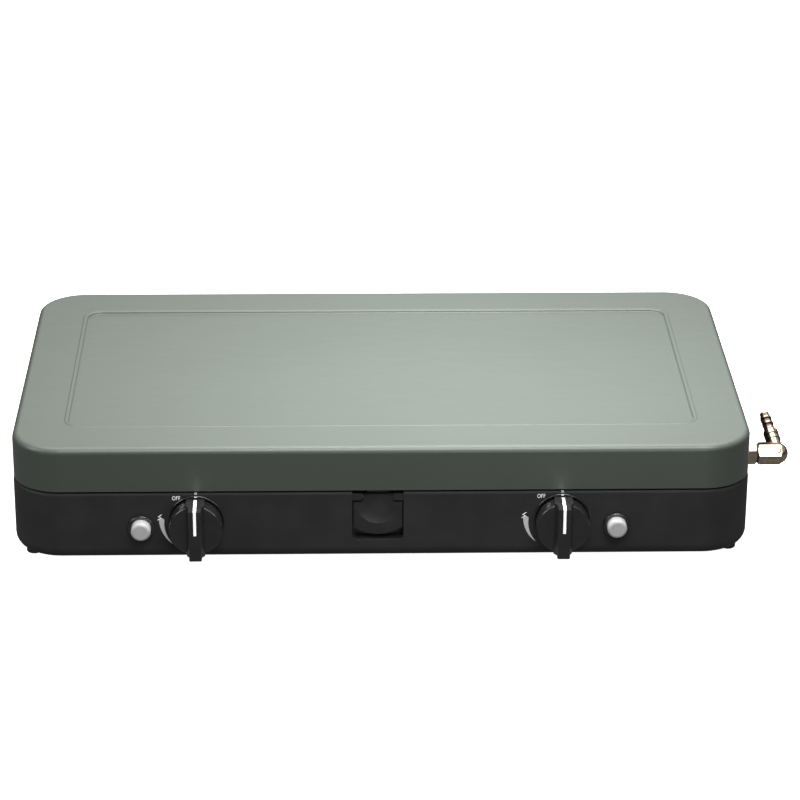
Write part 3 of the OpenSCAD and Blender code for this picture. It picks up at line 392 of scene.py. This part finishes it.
def flat_mark(name, outline, origin, material):
    """A thin print with that outline, on the case's front face."""
    mesh = bpy.data.meshes.new(name)
    bm = bmesh.new()
    corners = [bm.verts.new(origin + on_face(x, z)) for x, z in outline]
    face = bm.faces.new(corners)
    grown = bmesh.ops.extrude_face_region(bm, geom=[face])
    for vert in [v for v in grown["geom"] if isinstance(v, bmesh.types.BMVert)]:
        vert.co.y -= MARK_THICKNESS
    bmesh.ops.triangulate(bm, faces=[f for f in bm.faces if len(f.verts) > 4])
    bmesh.ops.recalc_face_normals(bm, faces=bm.faces)
    bm.to_mesh(mesh)
    bm.free()
    add_print(name, mesh, material)


def off_mark(name, origin, material):
    """The closed position's word, printed on the case's front face."""
    text = bpy.data.curves.new(name, "FONT")
    text.body = "OFF"
    text.size = OFF_HEIGHT * MM * FONT_SIZE_OVER_CAPITAL
    text.space_character = OFF_SPACING
    text.align_x = "CENTER"
    text.align_y = "CENTER"
    text.extrude = MARK_THICKNESS / 2
    text.offset = OFF_BOLDNESS
    carrier = bpy.data.objects.new(name + "_text", text)
    bpy.context.scene.collection.objects.link(carrier)
    bpy.context.view_layer.update()
    mesh = bpy.data.meshes.new_from_object(carrier)
    bpy.data.objects.remove(carrier)
    narrow = Matrix.Diagonal((OFF_NARROWING, 1, 1, 1))
    upright = Matrix.Rotation(math.radians(90), 4, "X")
    mesh.transform(Matrix.Translation(origin) @ upright @ narrow)
    add_print(name, mesh, material)


def dial_marks():
    """OFF, the spark sign, the flame wedge and the ticks around both knobs."""
    white = print_ink("print_white", 0.92)
    grey = print_ink("print_grey", 0.42)
    front_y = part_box("base_pan")[0].y
    for side in ("left", "right"):
        low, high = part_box("knob_ring_" + side)
        axis = Vector(((low.x + high.x) / 2, front_y, (low.z + high.z) / 2))
        print_at = axis + on_face(PRINT_SHIFT[side], 0)
        flat_mark("spark_mark_" + side, bolt_outline(), print_at + on_face(*BOLT_PLACE), white)
        flat_mark("flame_mark_" + side, wedge_outline(), print_at, grey)
        off_mark("off_mark_" + side, print_at + on_face(*OFF_PLACE), white)
        flat_mark("case_tick_" + side, CASE_TICK, axis, grey)
        flat_mark("ring_tick_" + side, RING_TICK, Vector((axis.x, low.y, axis.z)), white)


# ---- studio ----

# In metres and degrees, solved from the outline of the object in the photograph
CAMERA_PLACE = (-0.06945, -2.3106, 1.07321)
CAMERA_YAW = 1.578
CAMERA_PITCH = 23.331
CAMERA_ROLL = 0.317
LENS_MM = 134.95
SHIFT_Y = -0.00445

FLOOR_HALF = 12.0
ROOM_STRENGTH = 0.42
# The room's brightness by height: 0 is straight down, 0.5 the horizon and 1 straight up
ROOM_LEVELS = ((0.0, 0.35), (0.44, 0.35), (0.5, 0.1), (0.6, 0.1), (0.72, 1.0))


def add_camera():
    """The camera at the photograph's viewing angle: yaw, then pitch down, then a slight roll."""
    data = bpy.data.cameras.new("camera")
    data.lens = LENS_MM
    data.shift_y = SHIFT_Y
    data.clip_end = 20
    camera = bpy.data.objects.new("camera", data)
    turn = (
        Matrix.Rotation(math.radians(-CAMERA_YAW), 4, "Z")
        @ Matrix.Rotation(math.radians(90 - CAMERA_PITCH), 4, "X")
        @ Matrix.Rotation(math.radians(CAMERA_ROLL), 4, "Z")
    )
    camera.matrix_world = Matrix.Translation(CAMERA_PLACE) @ turn
    bpy.context.scene.collection.objects.link(camera)
    bpy.context.scene.camera = camera


def area_light(name, place, target, size, power, in_reflections=True):
    """A rectangular softbox of that size in metres and power in watts, facing a point."""
    data = bpy.data.lights.new(name, "AREA")
    data.shape = "RECTANGLE"
    data.size, data.size_y = size
    data.energy = power
    light = bpy.data.objects.new(name, data)
    light.location = place
    light.visible_glossy = in_reflections
    light.rotation_euler = (Vector(target) - Vector(place)).to_track_quat("-Z", "Y").to_euler()
    bpy.context.scene.collection.objects.link(light)


def add_floor():
    """A plain white floor, bright enough to hide its shadows and throwing no light back on the stove."""
    mesh = bpy.data.meshes.new("floor")
    corners = [(x * FLOOR_HALF, y * FLOOR_HALF, 0) for x, y in ((-1, -1), (1, -1), (1, 1), (-1, 1))]
    mesh.from_pydata(corners, [], [(0, 1, 2, 3)])
    floor = bpy.data.objects.new("floor", mesh)
    bpy.context.scene.collection.objects.link(floor)
    s = Shader("floor", Base_Color=(0.9, 0.9, 0.9, 1), Roughness=0.9,
               Emission_Color=(1, 1, 1, 1), Emission_Strength=1.0)
    mesh.materials.append(s.finish())
    floor.visible_diffuse = False
    floor.visible_glossy = False


def add_room():
    """The room's soft white light, with a dark band along the horizon that draws the edges."""
    world = bpy.data.worlds.new("studio")
    world.use_nodes = True
    nodes, links = world.node_tree.nodes, world.node_tree.links
    direction = nodes.new("ShaderNodeTexCoord").outputs["Generated"]
    split = nodes.new("ShaderNodeSeparateXYZ")
    links.new(direction, split.inputs["Vector"])
    ramp = nodes.new("ShaderNodeValToRGB")
    set_stops(ramp.color_ramp, [(position, (level,) * 3) for position, level in ROOM_LEVELS])
    height = nodes.new("ShaderNodeMapRange")
    height.inputs["From Min"].default_value = -1.0
    links.new(split.outputs["Z"], height.inputs["Value"])
    links.new(height.outputs["Result"], ramp.inputs["Fac"])
    background = nodes["Background"]
    background.inputs["Strength"].default_value = ROOM_STRENGTH
    links.new(ramp.outputs["Color"], background.inputs["Color"])
    bpy.context.scene.world = world


def add_studio():
    """The room, two softboxes overhead, and four cards around the stove that its edges mirror."""
    add_room()
    bpy.context.scene.view_settings.view_transform = "Standard"
    area_light("overhead", (0.0, 0.5, 1.9), (0, 0.1, 0), (2.2, 1.6), 27)
    # Only brightens the middle of the lid: mirrored, it would glare along the lid's edge
    area_light("near_overhead", (0.05, -0.05, 0.52), (0.05, -0.05, 0), (0.36, 0.36), 10,
               in_reflections=False)
    area_light("rear_card", (0.2, 2.4, 1.2), (0.1, 0, 0.1), (2.2, 1.6), 4.5)
    area_light("front_card", (0.35, -1.8, 2.3), (0.1, 0, 0.05), (1.6, 0.9), 42)
    area_light("low_card", (0.2, -1.0, 0.12), (0.12, 0, 0.06), (0.4, 0.12), 0.9)
    area_light("left_card", (-1.44, -0.6, 0.95), (0, -0.15, 0.05), (0.9, 0.7), 7)


with open("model.json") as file:
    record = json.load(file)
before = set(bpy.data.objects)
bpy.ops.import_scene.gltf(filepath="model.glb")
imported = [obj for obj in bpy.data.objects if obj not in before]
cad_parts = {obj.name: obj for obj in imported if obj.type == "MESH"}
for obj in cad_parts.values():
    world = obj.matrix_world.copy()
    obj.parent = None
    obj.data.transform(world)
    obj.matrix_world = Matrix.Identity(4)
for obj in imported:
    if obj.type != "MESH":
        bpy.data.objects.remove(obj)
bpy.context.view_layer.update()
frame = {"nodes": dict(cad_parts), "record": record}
add_camera()
dress_nodes(frame)
dial_marks()
add_floor()
add_studio()
